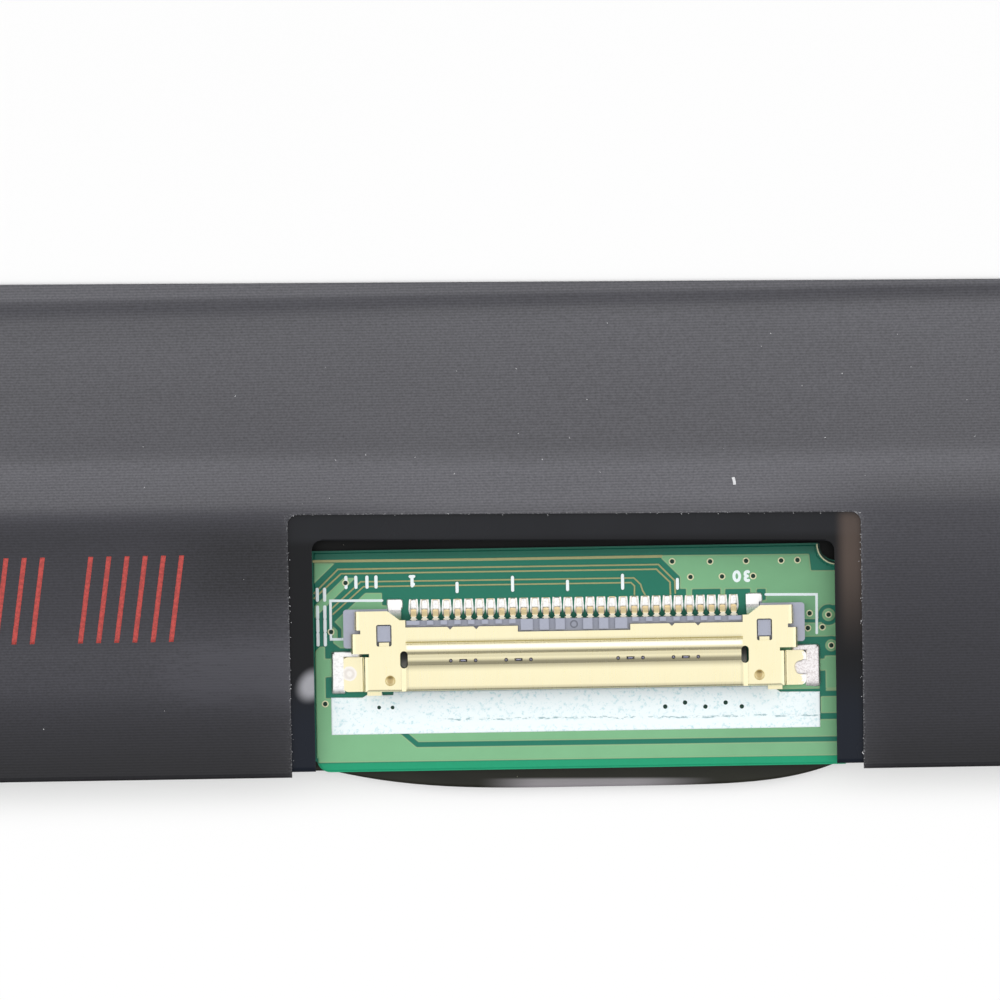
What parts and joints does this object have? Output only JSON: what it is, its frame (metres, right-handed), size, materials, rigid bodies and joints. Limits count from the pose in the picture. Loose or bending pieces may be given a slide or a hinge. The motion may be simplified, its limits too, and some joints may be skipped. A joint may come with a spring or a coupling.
{
  "type": "laptop screen panel",
  "caption": "Slim laptop display panel with a white rear sheet, black cover tape along the lower edge and a gold-plated signal socket on a green board in the tape's notch.",
  "frame": {"origin": "middle of the panel's footprint, on the plane that the screen's front face rests on", "axes": "+X along the long side, to the right seen from the rear with the board flap below; +Y to the panel's top edge; +Z out of the rear face"},
  "size_m": [0.3506, 0.217, 0.0029],
  "materials": {
    "screen_polariser": "smooth dark hard-coated film",
    "cell_glass": "thin clear glass",
    "optical_sheet": "milky translucent film",
    "light_guide": "clear acrylic plate",
    "reflector": "white reflector film",
    "adhesive": "thin black double-sided tape",
    "frame_plastic": "moulded dark polycarbonate",
    "led_body": "white lamp body with a pale yellow face",
    "lamp_flex": "white-coated flexible circuit",
    "board_mask": "green solder mask",
    "gold_plate": "thin gold plating on sheet metal",
    "socket_plastic": "grey high-temperature plastic",
    "chip_body": "black moulding compound",
    "inductor_body": "dark grey ferrite compound",
    "capacitor_body": "tan ceramic",
    "film_carrier": "amber polyimide film",
    "cover_tape": "black polyester tape with fine ribs",
    "inner_film": "smooth black film",
    "front_tape": "thin glossy black tape"
  },
  "bodies": {
    "root": {"front_polariser": "screen_polariser", "colour_filter_glass": "cell_glass", "array_glass": "cell_glass", "rear_polariser": "screen_polariser", "rim_tape": "adhesive", "prism_sheet_upper": "optical_sheet", "prism_sheet_lower": "optical_sheet", "diffuser_sheet": "optical_sheet", "light_guide_plate": "light_guide", "leds": "led_body", "led_flex": "lamp_flex", "reflector_sheet": "reflector", "reflector_adhesive": "adhesive", "mould_frame": "frame_plastic", "circuit_board": "board_mask", "connector_shell": "gold_plate", "connector_housing": "socket_plastic", "connector_contacts": "gold_plate", "timing_controller": "chip_body", "power_converter": "chip_body", "led_driver": "chip_body", "memory_chip": "chip_body", "power_inductors": "inductor_body", "ceramic_capacitors": "capacitor_body", "chip_resistors": "chip_body", "backlight_socket": "socket_plastic", "insulating_film": "inner_film", "rear_cover_tape": "cover_tape", "front_cover_tape": "front_tape", "source_film_1": "film_carrier", "driver_chip_1": "chip_body", "source_film_2": "film_carrier", "driver_chip_2": "chip_body", "source_film_3": "film_carrier", "driver_chip_3": "chip_body", "source_film_4": "film_carrier", "driver_chip_4": "chip_body"}
  },
  "joints": []
}
